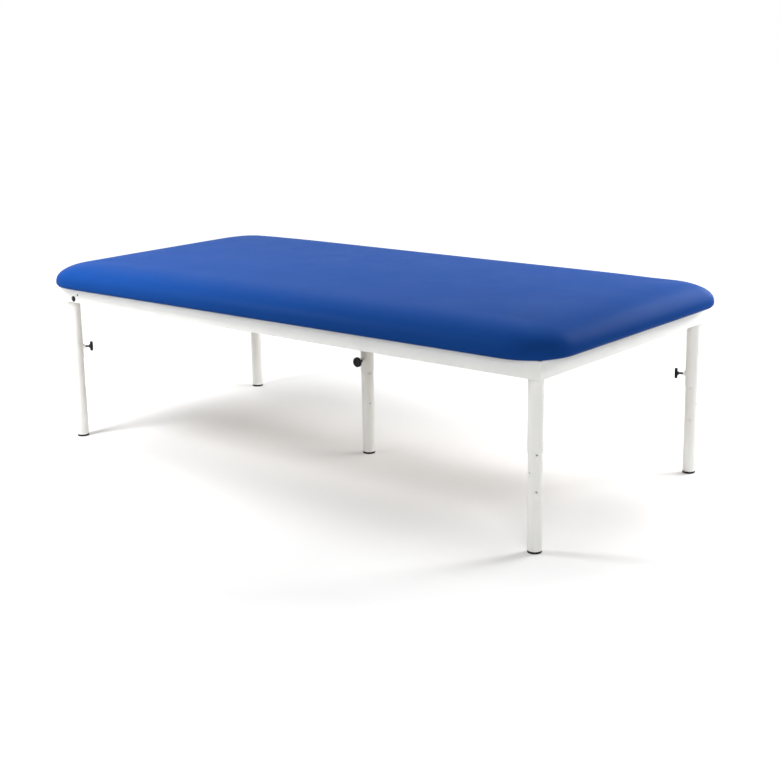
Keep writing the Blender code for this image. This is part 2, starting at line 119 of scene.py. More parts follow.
# Legs
TUBE_STEPS = 96
SLEEVE_WALL = 0.0012
POST_WALL = 0.0015
TUBE_LIP = 0.0003
HOLE_RADIUS = 0.0025
HOLE_FLARE = 0.0002
HOLE_PITCH = 0.050
HOLE_COUNT = 4
TOP_HOLE_DEPTH = 0.0505
HOLE_TURN = math.radians(120)
HOLE_STEP = math.radians(-60)
POST_TURNS = {
    "front_left": math.radians(-20),
    "front_right": math.radians(8),
    "rear_right": math.radians(21),
}
POST_TURNED_OVER = "front_right"
FOOT_HEIGHT = 0.006
FOOT_LIP = 0.0006
FOOT_TREAD_RADIUS = 0.0014
FOOT_CHAMFER = 0.001
FOOT_GROOVES = ((0.0124, 0.0150), (0.0054, 0.0080))
FOOT_GROOVE_DEPTH = 0.0007
FOOT_GROOVE_SLOPE = 0.0004

# Clamps
BOSS_RADIUS = 0.007
BOSS_BORE = 0.0043
BOSS_CHAMFER = 0.0006
BOSS_ROOT = 0.003
BOSS_STEPS = 64
SADDLE_REACH = 0.02
THREAD_PITCH = 0.00125
THREAD_RADIUS = 0.004
THREAD_DEPTH = 0.00070
THREAD_SHARES = (0.0, 0.22, 0.52, 0.68)
THREAD_STEPS = 36
THREAD_SMOOTH_ANGLE = math.radians(50)
KNOB_FLUTES = 16
KNOB_FLUTE_DEPTH = 0.0009
KNOB_FLUTE_START = 0.8
KNOB_STEPS = 160
KNOB_RIM_RADIUS = 0.0026
KNOB_RIM_STEPS = 6
KNOB_HUB_RADIUS = 0.0065
KNOB_HUB_LENGTH = 0.003
KNOB_HUB_FILLET = 0.0008
KNOB_HUB_EDGE = 0.0005
KNOB_DISH = (0.56, 0.62)
KNOB_DISH_DEPTH = 0.0006

# Welds
WELD_RADIUS = 0.0022
WELD_RIPPLE = 0.0026
WELD_DIP = 0.86
WELD_END = 0.5
WELD_SMOOTH_ANGLE = math.radians(70)
WELD_MARGIN = 0.005
WELD_OFFSET = 0.0075
BOSS_WELD_RADIUS = 0.0017
TAB_WELD_REACH = 0.015

# Underside
HEM_WIDTH = 0.030
HEM_WAVE = 0.002
HEM_WAVES = ((1.0, 61, 0), (0.6, 173, 1))
HEM_THICKNESS = 0.0002
HEM_GAP = 0.00005
HEM_CUTS = 120
STAPLE_PITCH = 0.045
STAPLE_NUMBERS = range(-20, 21)
STAPLE_INSET = 0.55
STAPLE_LENGTH = 0.011
STAPLE_CROWN = 0.9
STAPLE_BEND = 0.0004
STAPLE_RADIUS = 0.00045
STAPLE_CLEARANCE = 0.045
TAB_CORNER_RADIUS = 0.006
TAB_CORNER_STEPS = 6
TAB_EDGE_RADIUS = 0.0004
TAB_EDGE_STEPS = 2
TAB_HOLE_RADIUS = 0.0028
SHANK_RADIUS = 0.0025
SHANK_POINT = 0.004
HEAD_EDGE = 0.0003
HEAD_DOME = ((1.0, 0.35), (0.86, 0.72))
HEAD_FLAT = (0.55, 0.0001)
HEAD_STEPS = 48
RECESS_DEPTH = 0.0016
RECESS_REACH = 0.0026
RECESS_WIDTH = 0.0005

SEAT_GAP = 0.0003
CUT_CLEARANCE = 0.002
CUTTER_STEPS = 32
MERGE_DISTANCE = 0.000001
SMOOTH_ANGLE = math.radians(35)

LEGS = ("front_left", "front_right", "rear_right", "rear_left", "centre")
FIXINGS = ("front_left", "front_right", "right", "rear_right", "rear_left", "left")
JOINTS = {joint["name"]: joint for joint in frame["joints"]}


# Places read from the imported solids
def middle(node):
    low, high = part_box(node)
    return (low + high) / 2


PAD_LOW, PAD_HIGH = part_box("mattress_cover")
BOARD_LOW, BOARD_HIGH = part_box("base_board")
RAIL_LOW, RAIL_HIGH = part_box("front_rail")
RAIL_WIDTH = RAIL_HIGH.y - RAIL_LOW.y
RAIL_BOTTOM = RAIL_LOW.z
RAIL_TOP = RAIL_HIGH.z
FRAME_HALF_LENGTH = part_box("right_rail")[1].x
FRAME_HALF_WIDTH = -RAIL_LOW.y
SLEEVE_LOW, SLEEVE_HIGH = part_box("centre_sleeve")
SLEEVE_RADIUS = SLEEVE_HIGH.x
POST_LOW, POST_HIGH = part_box("centre_post")
POST_RADIUS = POST_HIGH.x
CLAMP_HEIGHT = middle("centre_clamp_knob").z
BOSS_END = -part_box("centre_clamp_boss")[0].y
SCREW_TIP = -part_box("centre_clamp_screw")[1].y
SCREW_END = -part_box("centre_clamp_screw")[0].y
KNOB_START = -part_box("centre_clamp_knob")[1].y
KNOB_FACE = -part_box("centre_clamp_knob")[0].y
KNOB_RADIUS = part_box("centre_clamp_knob")[1].x


FACING_FRONT = Matrix.Rotation(math.pi / 2, 4, "X")
LYING = Matrix.Rotation(math.pi / 2, 4, "Y")


def leg_matrix(leg):
    """Where a leg stands, turned so that its own +X is the way its clamp points."""
    place = middle(leg + "_post")
    heading = Vector(JOINTS[leg + "_screw_feed"]["axis"])
    angle = math.atan2(heading.y, heading.x)
    return Matrix.Translation((place.x, place.y, 0)) @ Matrix.Rotation(angle, 4, "Z")


def clamp_matrix(leg):
    """Turns a piece made along +Z to lie along a leg's clamp."""
    height = Matrix.Translation((0, 0, CLAMP_HEIGHT))
    return leg_matrix(leg) @ height @ LYING


# Mesh helpers
def to_mesh(name, shape, smooth_angle=SMOOTH_ANGLE):
    mesh = bpy.data.meshes.new(name)
    shape.to_mesh(mesh)
    shape.free()
    return smoothed(mesh, smooth_angle)


def smoothed(mesh, smooth_angle=SMOOTH_ANGLE):
    mesh.shade_smooth()
    mesh.set_sharp_from_angle(angle=smooth_angle)
    return mesh


def moved(mesh, matrix):
    copy = mesh.copy()
    copy.transform(matrix)
    return copy


def link(obj):
    bpy.context.scene.collection.objects.link(obj)
    return obj


def add_piece(name, mesh, material, body, slot, *replaced):
    mesh.name = name
    mesh.materials.clear()
    mesh.materials.append(material)
    piece = link(bpy.data.objects.new(name, mesh))
    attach(piece, body)
    if replaced:
        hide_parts(*replaced)
    return piece


def arc(centre_radius, centre_height, radius, start, end, steps=EDGE_STEPS):
    """Profile points round a corner, from one angle to another, in degrees."""
    points = []
    for step in range(steps + 1):
        angle = math.radians(start + (end - start) * step / steps)
        along = centre_radius + radius * math.cos(angle)
        points.append((along, centre_height + radius * math.sin(angle)))
    return points


def turned(points, steps, closed=False):
    """A shape turned about Z from a profile of radii and heights."""
    shape = bmesh.new()
    corners = [shape.verts.new((radius, 0, height)) for radius, height in points]
    pairs = list(zip(corners, corners[1:]))
    if closed:
        pairs.append((corners[-1], corners[0]))
    edges = [shape.edges.new(pair) for pair in pairs]
    bmesh.ops.spin(
        shape,
        geom=corners + edges,
        cent=(0, 0, 0),
        axis=(0, 0, 1),
        angle=math.tau,
        steps=steps,
        use_merge=True,
    )
    bmesh.ops.remove_doubles(shape, verts=shape.verts, dist=MERGE_DISTANCE)
    bmesh.ops.recalc_face_normals(shape, faces=shape.faces)
    return shape


def rounded_edges(shape, edges, radius, steps=EDGE_STEPS):
    bmesh.ops.bevel(
        shape,
        geom=edges,
        offset=radius,
        segments=steps,
        profile=0.5,
        affect="EDGES",
        material=-1,
    )


def block(low, high):
    """A plain block between two opposite corners, for shaping further."""
    shape = bmesh.new()
    bmesh.ops.create_cube(shape, size=1.0)
    size = Vector(high) - Vector(low)
    bmesh.ops.scale(shape, verts=shape.verts, vec=size)
    bmesh.ops.translate(shape, verts=shape.verts, vec=(Vector(low) + Vector(high)) / 2)
    return shape


def rod_cutter(radius, start, end, steps=CUTTER_STEPS):
    points = [(0, end), (radius, end), (radius, start), (0, start)]
    return to_mesh("cutter", turned(points, steps))


def cut_away(mesh, cutters):
    """The mesh with every cutter mesh taken out of it."""
    blank = link(bpy.data.objects.new("blank", mesh))
    tools = []
    for cutter in cutters:
        tool = link(bpy.data.objects.new("cutter", cutter))
        modifier = blank.modifiers.new("cut", "BOOLEAN")
        modifier.operation = "DIFFERENCE"
        modifier.solver = "EXACT"
        modifier.object = tool
        tools.append(tool)
    depsgraph = bpy.context.evaluated_depsgraph_get()
    result = bpy.data.meshes.new_from_object(blank.evaluated_get(depsgraph), depsgraph=depsgraph)
    for obj in [blank] + tools:
        bpy.data.objects.remove(obj)
    return smoothed(result)


# Material helpers
def fill_sockets(tree, node, values):
    """Sets a node's sockets by name, from a value or another node's socket."""
    for name, value in values.items():
        socket = node.inputs[name.replace("_", " ")]
        if isinstance(value, bpy.types.NodeSocket):
            tree.links.new(value, socket)
        else:
            socket.default_value = value
    return node


def add_node(tree, kind, **values):
    return fill_sockets(tree, tree.nodes.new(kind), values)


def add_group(tree, group, **values):
    node = tree.nodes.new("ShaderNodeGroup")
    node.node_tree = group
    return fill_sockets(tree, node, values)


def new_group(name, inputs, outputs):
    tree = bpy.data.node_groups.new(name, "ShaderNodeTree")
    for socket_name, kind, value in inputs:
        socket = tree.interface.new_socket(socket_name, in_out="INPUT", socket_type=kind)
        if value is not None:
            socket.default_value = value
    for socket_name, kind in outputs:
        tree.interface.new_socket(socket_name, in_out="OUTPUT", socket_type=kind)
    return tree, tree.nodes.new("NodeGroupInput"), tree.nodes.new("NodeGroupOutput")


def make_patches_group():
    """Soft uneven patches: a value that wanders between two ends."""
    tree, given, result = new_group(
        "patches",
        [
            ("Vector", "NodeSocketVector", None),
            ("Scale", "NodeSocketFloat", 10.0),
            ("Low", "NodeSocketFloat", 0.0),
            ("High", "NodeSocketFloat", 1.0),
        ],
        [("Value", "NodeSocketFloat")],
    )
    noise = add_node(
        tree,
        "ShaderNodeTexNoise",
        Vector=given.outputs["Vector"],
        Scale=given.outputs["Scale"],
        Detail=3.0,
        Roughness=0.55,
    )
    spread = add_node(
        tree,
        "ShaderNodeMapRange",
        Value=noise.outputs["Fac"],
        From_Min=0.3,
        From_Max=0.7,
        To_Min=given.outputs["Low"],
        To_Max=given.outputs["High"],
    )
    tree.links.new(spread.outputs["Result"], result.inputs["Value"])
    return tree


def make_pebble_group():
    """Pebbled grain of coated cloth: low round cells with creases between them."""
    tree, given, result = new_group(
        "pebble_grain",
        [("Vector", "NodeSocketVector", None), ("Scale", "NodeSocketFloat", 800.0)],
        [("Height", "NodeSocketFloat")],
    )
    cells = tree.nodes.new("ShaderNodeTexVoronoi")
    cells.feature = "SMOOTH_F1"
    sockets = {
        "Vector": given.outputs["Vector"],
        "Scale": given.outputs["Scale"],
        "Smoothness": 0.35,
    }
    fill_sockets(tree, cells, sockets)
    domes = add_node(
        tree,
        "ShaderNodeMapRange",
        Value=cells.outputs["Distance"],
        From_Min=0.15,
        From_Max=0.75,
        To_Min=1.0,
        To_Max=0.0,
    )
    tree.links.new(domes.outputs["Result"], result.inputs["Height"])
    return tree


PATCHES = make_patches_group()
PEBBLE = make_pebble_group()


def new_surface(name, metallic, specular):
    """A new material, with its tree, its Principled shader and its coordinates."""
    material = bpy.data.materials.new(name)
    material.use_nodes = True
    tree = material.node_tree
    shader = tree.nodes["Principled BSDF"]
    shader.inputs["Metallic"].default_value = metallic
    shader.inputs["Specular IOR Level"].default_value = specular
    place = tree.nodes.new("ShaderNodeTexCoord").outputs["Object"]
    return material, tree, shader, place


def mixed_colour(tree, mask, first, second):
    """The first colour where the mask is 0, and the second where it is 1."""
    mix = tree.nodes.new("ShaderNodeMix")
    mix.data_type = "RGBA"
    tree.links.new(mask, mix.inputs["Factor"])
    for name, colour in (("A", first), ("B", second)):
        socket = next(s for s in mix.inputs if s.name == name and s.type == "RGBA")
        if isinstance(colour, bpy.types.NodeSocket):
            tree.links.new(colour, socket)
        else:
            socket.default_value = (*colour, 1.0)
    return next(s for s in mix.outputs if s.type == "RGBA")


def box_mask(tree, place, low, high):
    """A value of 1 inside a box and 0 outside it."""
    steps = (("SUBTRACT", (low + high) / 2), ("ABSOLUTE", None), ("SUBTRACT", (high - low) / 2))
    for operation, amount in steps:
        node = tree.nodes.new("ShaderNodeVectorMath")
        node.operation = operation
        tree.links.new(place, node.inputs[0])
        if amount is not None:
            node.inputs[1].default_value = amount
        place = node.outputs["Vector"]
    past = add_node(tree, "ShaderNodeSeparateXYZ", Vector=place).outputs
    largest = past["X"]
    for axis in "YZ":
        node = tree.nodes.new("ShaderNodeMath")
        node.operation = "MAXIMUM"
        tree.links.new(largest, node.inputs[0])
        tree.links.new(past[axis], node.inputs[1])
        largest = node.outputs["Value"]
    inside = tree.nodes.new("ShaderNodeMath")
    inside.operation = "LESS_THAN"
    tree.links.new(largest, inside.inputs[0])
    inside.inputs[1].default_value = 0.0
    return inside.outputs["Value"]


def raise_surface(tree, shader, height, depth, strength):
    bump = add_node(tree, "ShaderNodeBump", Height=height, Distance=depth, Strength=strength)
    tree.links.new(bump.outputs["Normal"], shader.inputs["Normal"])


# Materials
def make_surface(name, tones, gloss, relief=None, painted_shade=None, metallic=0.0, specular=0.5):
    """A material with two mottled tones and uneven gloss.

    tones: scale of the patches and two colours. gloss: scale and two ends of the roughness.
    relief: node group, scale, depth and strength. painted_shade: a box's two corners and the dark
    shade painted in it.
    """
    material, tree, shader, place = new_surface(name, metallic, specular)
    scale, first, second = tones
    mottle = add_group(tree, PATCHES, Vector=place, Scale=scale)
    colour = mixed_colour(tree, mottle.outputs["Value"], first, second)
    if painted_shade:
        # Paints near-black shade inside the box, so a hollow seen through a hole looks dark
        low, high, shade_colour = painted_shade
        colour = mixed_colour(tree, box_mask(tree, place, low, high), colour, shade_colour)
    tree.links.new(colour, shader.inputs["Base Color"])
    scale, low, high = gloss
    sheen = add_group(tree, PATCHES, Vector=place, Scale=scale, Low=low, High=high)
    tree.links.new(sheen.outputs["Value"], shader.inputs["Roughness"])
    if relief:
        group, scale, depth, strength = relief
        grain = add_group(tree, group, Vector=place, Scale=scale)
        raise_surface(tree, shader, grain.outputs[0], depth, strength)
    return material


def rail_inside(margin=0.0):
    """Low and high corners of the hollow in the front rail, round its plug."""
    wall = RAIL_WALL - margin
    reach = (RAIL_HIGH - RAIL_LOW) / 2 - Vector((0, wall, wall))
    reach.x = RAIL_HOLLOW + margin
    centre = (RAIL_LOW + RAIL_HIGH) / 2
    centre.x = middle("rail_plug").x
    return centre - reach, centre + reach


def make_plywood():
    material, tree, shader, place = new_surface("birch_plywood", metallic=0.0, specular=0.3)
    shader.inputs["Roughness"].default_value = 0.62
    stretch = add_node(tree, "ShaderNodeMapping", Vector=place, Scale=(1.2, 22.0, 22.0))
    bands = add_node(
        tree,
        "ShaderNodeTexNoise",
        Vector=stretch.outputs["Vector"],
        Scale=2.2,
        Detail=6.0,
        Roughness=0.6,
        Distortion=1.4,
    )
    tones = (0.20, 0.140, 0.080), (0.36, 0.270, 0.170)
    colour = mixed_colour(tree, bands.outputs["Fac"], *tones)
    tree.links.new(colour, shader.inputs["Base Color"])
    pores = add_node(tree, "ShaderNodeMapping", Vector=place, Scale=(30.0, 900.0, 900.0))
    lines = add_group(tree, PATCHES, Vector=pores.outputs["Vector"], Scale=1.0)
    raise_surface(tree, shader, lines.outputs["Value"], depth=0.00015, strength=0.5)
    return material


COATED_CLOTH = make_surface(
    "blue_coated_cloth",
    tones=(5.0, (0.0066, 0.0440, 0.200), (0.0071, 0.0470, 0.209)),
    gloss=(9.0, 0.40, 0.44),
    relief=(PEBBLE, 850.0, 0.00012, 0.5),
    specular=0.010,
)
POWDER_COAT = make_surface(
    "white_powder_coat",
    tones=(14.0, (0.850, 0.848, 0.812), (0.870, 0.868, 0.834)),
    gloss=(60.0, 0.33, 0.43),
    relief=(PATCHES, 700.0, 0.00006, 0.6),
    # Painted shade: near black inside the front rail's hollow round its plug, so the holes into it
    # look dark
    painted_shade=(*rail_inside(RAIL_WALL / 2), (0.012, 0.011, 0.013)),
)
MOULDED_PLASTIC = make_surface(
    "black_moulded_plastic",
    tones=(90.0, (0.009, 0.009, 0.010), (0.014, 0.014, 0.015)),
    gloss=(300.0, 0.36, 0.52),
    relief=(PATCHES, 2600.0, 0.00005, 0.6),
    specular=0.12,
)
RUBBER = make_surface(
    "black_rubber",
    tones=(120.0, (0.012, 0.012, 0.013), (0.024, 0.023, 0.022)),
    gloss=(250.0, 0.65, 0.85),
    relief=(PATCHES, 1500.0, 0.00008, 0.6),
    specular=0.2,
)
ZINC = make_surface(
    "zinc_plated_steel",
    tones=(260.0, (0.52, 0.53, 0.55), (0.68, 0.67, 0.64)),
    gloss=(500.0, 0.24, 0.4),
    metallic=1.0,
)
DARK_STEEL = make_surface(
    "blackened_steel",
    tones=(300.0, (0.075, 0.075, 0.078), (0.120, 0.118, 0.115)),
    gloss=(500.0, 0.34, 0.5),
    metallic=0.6,
)
PLYWOOD = make_plywood()


# Mattress
def shoulder_line(step, fullness):
    """Inset and height of one line on the shoulder. It is a quarter ellipse at a fullness of 2."""
    widest = PAD_LOW.z + LOWER_RADIUS
    angle = (1 - step / SHOULDER_STEPS) * math.pi / 2
    run = abs(math.cos(angle)) ** (2 / fullness)
    rise = math.sin(angle) ** (2 / fullness)
    return SHOULDER_WIDTH * (1 - run), widest + (PAD_HIGH.z - widest) * rise


def lower_lines():
    """Inset and height of the lines below the widest one: under the edge, then up to the board."""
    widest = PAD_LOW.z + LOWER_RADIUS
    lines = []
    for step in range(1, LOWER_STEPS + 1):
        angle = step / LOWER_STEPS * math.pi / 2
        inset = LOWER_RADIUS * (1 - math.cos(angle))
        lines.append((inset, widest - LOWER_RADIUS * math.sin(angle)))
    rim_end = PAD_HIGH.x - BOARD_HIGH.x - SEAT_GAP
    for step in range(1, RIM_STEPS + 1):
        inset = LOWER_RADIUS + (rim_end - LOWER_RADIUS - RIM_EDGE) * step / RIM_STEPS
        lines.append((inset, PAD_LOW.z))
    ceiling = BOARD_HIGH.z + SEAT_GAP
    lines += [(rim_end, PAD_LOW.z), (rim_end, PAD_LOW.z + RIM_EDGE), (rim_end, ceiling)]
    lines += [(rim_end + step * LOWER_RADIUS, ceiling) for step in (1, 2, 3)]
    return lines


def towards(place, size_x, size_y):
    """The two sizes as a vector into the same quarter of the plan as a place."""
    return Vector((math.copysign(size_x, place[0]), math.copysign(size_y, place[1])))


def outline_point(across, along, inset):
    """Plan of the mattress at an inset, for a place on the border of a square from -1 to 1.

    Gives the point and the way it faces.
    """
    radius = max(CORNER_RADIUS - inset, CREST_CORNER_RADIUS)
    straight_x = PAD_HIGH.x - inset - radius
    straight_y = PAD_HIGH.y - inset - radius
    on_long_side = abs(along) >= abs(across)
    straight = straight_x if on_long_side else straight_y
    share = abs(across) if on_long_side else abs(along)
    distance = share * (straight + radius * math.pi / 4)
    turn = max(0.0, distance - straight) / radius
    run = min(distance, straight)
    place = across, along
    if on_long_side:
        facing = towards(place, math.sin(turn), math.cos(turn))
        corner = towards(place, run, straight_y)
    else:
        facing = towards(place, math.cos(turn), math.sin(turn))
        corner = towards(place, straight_x, run)
    return corner + radius * facing, facing


def mattress_shape():
    shape = bmesh.new()
    bmesh.ops.create_grid(shape, x_segments=TOP_COLUMNS, y_segments=TOP_ROWS, size=1.0)
    across = shape.verts.layers.float.new("across")
    along = shape.verts.layers.float.new("along")
    for vertex in shape.verts:
        vertex[across] = vertex.co.x
        vertex[along] = vertex.co.y
        vertex.co.x *= PAD_HIGH.x - SHOULDER_WIDTH
        vertex.co.y *= PAD_HIGH.y - SHOULDER_WIDTH
        vertex.co.z = PAD_HIGH.z
    lines = lower_lines()
    border = [edge for edge in shape.edges if edge.is_boundary]
    for step in range(1, SHOULDER_STEPS + len(lines) + 1):
        extruded = bmesh.ops.extrude_edge_only(shape, edges=border)["geom"]
        for vertex in [item for item in extruded if isinstance(item, bmesh.types.BMVert)]:
            place = vertex[across], vertex[along]
            if step <= SHOULDER_STEPS:
                facing = outline_point(*place, 0)[1]
                fullness = FULLNESS + FULLER_AT_RIGHT * facing.x - FULLER_AT_FRONT * facing.y
                inset, height = shoulder_line(step, fullness)
            else:
                inset, height = lines[step - SHOULDER_STEPS - 1]
            vertex.co = (*outline_point(*place, inset)[0], height)
        border = [edge for edge in shape.edges if edge.is_boundary]
    widest = PAD_LOW.z + LOWER_RADIUS
    for vertex in shape.verts:
        rise = max(0.0, vertex.co.z - widest) / (PAD_HIGH.z - widest)
        across_zone = max(0.0, abs(vertex[across]) - CORNER_ZONE) / (1 - CORNER_ZONE)
        along_zone = max(0.0, abs(vertex[along]) - CORNER_ZONE) / (1 - CORNER_ZONE)
        vertex.co.z -= CORNER_DROP * rise * (across_zone * along_zone) ** 2
    bmesh.ops.triangle_fill(shape, edges=border, use_beauty=True)
    bmesh.ops.recalc_face_normals(shape, faces=shape.faces)
    return shape


def swell(piece):
    """Presses the cover out with the foam, in a short cloth run, to a low crown."""
    mesh = piece.data
    rest = [vertex.co.copy() for vertex in mesh.vertices]
    held = piece.vertex_groups.new(name="held")
    widest = PAD_LOW.z + LOWER_RADIUS
    for vertex in mesh.vertices:
        if vertex.co.z <= widest + MERGE_DISTANCE:
            held.add([vertex.index], 1.0, "REPLACE")
    cloth = piece.modifiers.new("foam_pressure", "CLOTH")
    settings = cloth.settings
    settings.quality = 4
    settings.mass = 0.5
    settings.tension_stiffness = 40
    settings.compression_stiffness = 40
    settings.shear_stiffness = 20
    settings.bending_stiffness = 8
    settings.use_pressure = True
    settings.uniform_pressure_force = 4
    settings.effector_weights.gravity = 0
    settings.vertex_group_mass = "held"
    scene = bpy.context.scene
    for number in range(1, CLOTH_FRAMES + 1):
        scene.frame_set(number)
    depsgraph = bpy.context.evaluated_depsgraph_get()
    pressed = piece.evaluated_get(depsgraph).to_mesh()
    moves = [after.co - before for after, before in zip(pressed.vertices, rest)]
    largest = max(move.length for move in moves)
    piece.modifiers.remove(cloth)
    scene.frame_set(1)
    for vertex, before, move in zip(mesh.vertices, rest, moves):
        vertex.co = before + move * min(1.0, CROWN / largest)
    piece.vertex_groups.clear()


def make_mattress():
    mesh = to_mesh("mattress", mattress_shape(), CLOTH_SMOOTH_ANGLE)
    piece = add_piece(
        "mattress", mesh, COATED_CLOTH, "frame", "blue_cover", "mattress_cover", "mattress_foam"
    )
    swell(piece)
    finer = piece.modifiers.new("finer", "SUBSURF")
    finer.levels = 1
    finer.render_levels = 1


# Frame
def corner_loop(shape, half_length, half_width, radius, height):
    """A level rectangle with rounded corners."""
    made = bmesh.ops.create_grid(shape, x_segments=1, y_segments=1, size=1.0)["verts"]
    bmesh.ops.scale(shape, verts=made, vec=(half_length, half_width, 1))
    bmesh.ops.translate(shape, verts=made, vec=(0, 0, height))
    face = made[0].link_faces[0]
    bmesh.ops.bevel(
        shape,
        geom=list(face.verts),
        offset=radius,
        segments=2 * EDGE_STEPS,
        profile=0.5,
        affect="VERTICES",
        material=-1,
    )


def frame_shape():
    """The rails as one welded ring with its corners ground smooth."""
    shape = bmesh.new()
    corner_loop(shape, FRAME_HALF_LENGTH, FRAME_HALF_WIDTH, FRAME_CORNER_RADIUS, RAIL_BOTTOM)
    corner_loop(
        shape,
        FRAME_HALF_LENGTH - RAIL_WIDTH,
        FRAME_HALF_WIDTH - RAIL_WIDTH,
        FRAME_INNER_RADIUS,
        RAIL_BOTTOM,
    )
    bmesh.ops.delete(shape, geom=list(shape.faces), context="FACES_ONLY")
    ring = bmesh.ops.bridge_loops(shape, edges=list(shape.edges))["faces"]
    raised = bmesh.ops.extrude_face_region(shape, geom=ring, use_keep_orig=True)["geom"]
    top = [item for item in raised if isinstance(item, bmesh.types.BMVert)]
    bmesh.ops.translate(shape, verts=top, vec=(0, 0, RAIL_TOP - RAIL_BOTTOM))
    bmesh.ops.recalc_face_normals(shape, faces=shape.faces)
    rims = [
        edge
        for edge in shape.edges
        if abs(edge.verts[0].co.z - edge.verts[1].co.z) < MERGE_DISTANCE
        and edge.calc_face_angle(0.0) > math.radians(80)
    ]
    rounded_edges(shape, rims, RAIL_EDGE_RADIUS)
    return shape


def plug_place():
    centre = middle("rail_plug")
    return Matrix.Translation((centre.x, -FRAME_HALF_WIDTH, centre.z)) @ FACING_FRONT


def make_frame():
    plug_hole = rod_cutter(PLUG_HOLE_RADIUS, -RAIL_WIDTH / 2, RAIL_WIDTH)
    open_hole = rod_cutter(OPEN_HOLE_RADIUS, -RAIL_WIDTH / 2, RAIL_WIDTH)
    beside = Matrix.Translation((OPEN_HOLE_FROM_PLUG, 0, OPEN_HOLE_ABOVE_PLUG))
    cutters = [to_mesh("cutter", block(*rail_inside()))]
    cutters += [moved(plug_hole, plug_place()), moved(open_hole, beside @ plug_place())]
    mesh = cut_away(to_mesh("welded_frame", frame_shape()), cutters)
    rails = [side + "_rail" for side in ("front", "rear", "left", "right")]
    add_piece("welded_frame", mesh, POWDER_COAT, "frame", "white_paint", *rails)
    for side in ("left", "right"):
        shape = block(*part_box(side + "_cross_rail"))
        long_edges = [e for e in shape.edges if e.verts[0].co.y * e.verts[1].co.y < 0]
        rounded_edges(shape, long_edges, RAIL_EDGE_RADIUS)
        add_piece(
            side + "_cross_tube",
            to_mesh("cross_tube", shape),
            POWDER_COAT,
            "frame",
            "white_paint",
            side + "_cross_rail",
        )


def make_plug():
    low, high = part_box("rail_plug")
    head_radius = (high.x - low.x) / 2
    head_height = -FRAME_HALF_WIDTH - low.y
    stem_end = -FRAME_HALF_WIDTH - high.y
    stem_radius = PLUG_HOLE_RADIUS - SEAT_GAP
    edge = PLUG_EDGE_RADIUS
    points = [(0, head_height)]
    points += [(head_radius * share, head_height - drop) for share, drop in PLUG_DOME]
    points += arc(head_radius - edge, SEAT_GAP + edge, edge, 60, 0)
    points += [(head_radius, SEAT_GAP), (stem_radius, SEAT_GAP)]
    points += [(stem_radius, stem_end), (0, stem_end)]
    mesh = to_mesh("cap_plug", turned(points, PLUG_STEPS))
    mesh.transform(plug_place())
    add_piece("rail_cap_plug", mesh, MOULDED_PLASTIC, "frame", "black_plastic", "rail_plug")


# Legs
def tube_profile(outer, wall, bottom, top):
    inner = outer - wall
    points = [(outer, top)]
    points += arc(outer - TUBE_LIP, bottom + TUBE_LIP, TUBE_LIP, 0, -90)
    points += arc(inner + TUBE_LIP, bottom + TUBE_LIP, TUBE_LIP, -90, -180)
    points.append((inner, top))
    return points


def upper_tube():
    points = tube_profile(SLEEVE_RADIUS, SLEEVE_WALL, SLEEVE_LOW.z, SLEEVE_HIGH.z)
    mesh = to_mesh("upper_tube", turned(points, TUBE_STEPS, closed=True))
    reach = 2 * CUT_CLEARANCE
    hole = rod_cutter(BOSS_BORE, SLEEVE_RADIUS - reach, SLEEVE_RADIUS + reach)
    hole.transform(Matrix.Translation((0, 0, CLAMP_HEIGHT)) @ LYING)
    return cut_away(mesh, [hole])


def hole_cutter():
    """A drill right through the post, flared where it leaves the surface."""
    reach = POST_RADIUS + CUT_CLEARANCE
    flare = POST_RADIUS - HOLE_FLARE
    wide = HOLE_RADIUS + HOLE_FLARE
    points = [(0, reach), (wide, reach), (wide, POST_RADIUS), (HOLE_RADIUS, flare)]
    points += [(radius, -height) for radius, height in reversed(points)]
    return to_mesh("cutter", turned(points, CUTTER_STEPS))


def lower_tube(hole_step):
    points = tube_profile(POST_RADIUS, POST_WALL, POST_LOW.z, POST_HIGH.z)
    mesh = to_mesh("lower_tube", turned(points, TUBE_STEPS, closed=True))
    cutters = []
    for number in range(HOLE_COUNT):
        height = POST_HIGH.z - TOP_HOLE_DEPTH - number * HOLE_PITCH
        turn = Matrix.Rotation(HOLE_TURN + number % 2 * hole_step, 4, "Z")
        cutter = hole_cutter()
        cutter.transform(turn @ (Matrix.Translation((0, 0, height)) @ LYING))
        cutters.append(cutter)
    return cut_away(mesh, cutters)


def foot_cap():
    """A cap with a spigot in the tube, a lip round its end and two grooves in the tread."""
    spigot = POST_RADIUS - POST_WALL - SEAT_GAP
    spigot_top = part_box("centre_foot")[1].z
    tread = FOOT_TREAD_RADIUS
    points = [(0, spigot_top), (spigot - FOOT_CHAMFER, spigot_top)]
    points += [(spigot, spigot_top - FOOT_CHAMFER), (spigot, FOOT_HEIGHT)]
    points += arc(POST_RADIUS - FOOT_LIP, FOOT_HEIGHT - FOOT_LIP, FOOT_LIP, 90, -30)
    points += arc(POST_RADIUS - tread, tread, tread, 0, -90)
    for inner, outer in FOOT_GROOVES:
        points += [(outer, 0), (outer - FOOT_GROOVE_SLOPE, FOOT_GROOVE_DEPTH)]
        points += [(inner + FOOT_GROOVE_SLOPE, FOOT_GROOVE_DEPTH), (inner, 0)]
    points.append((0, 0))
    return to_mesh("foot_cap", turned(points, TUBE_STEPS))


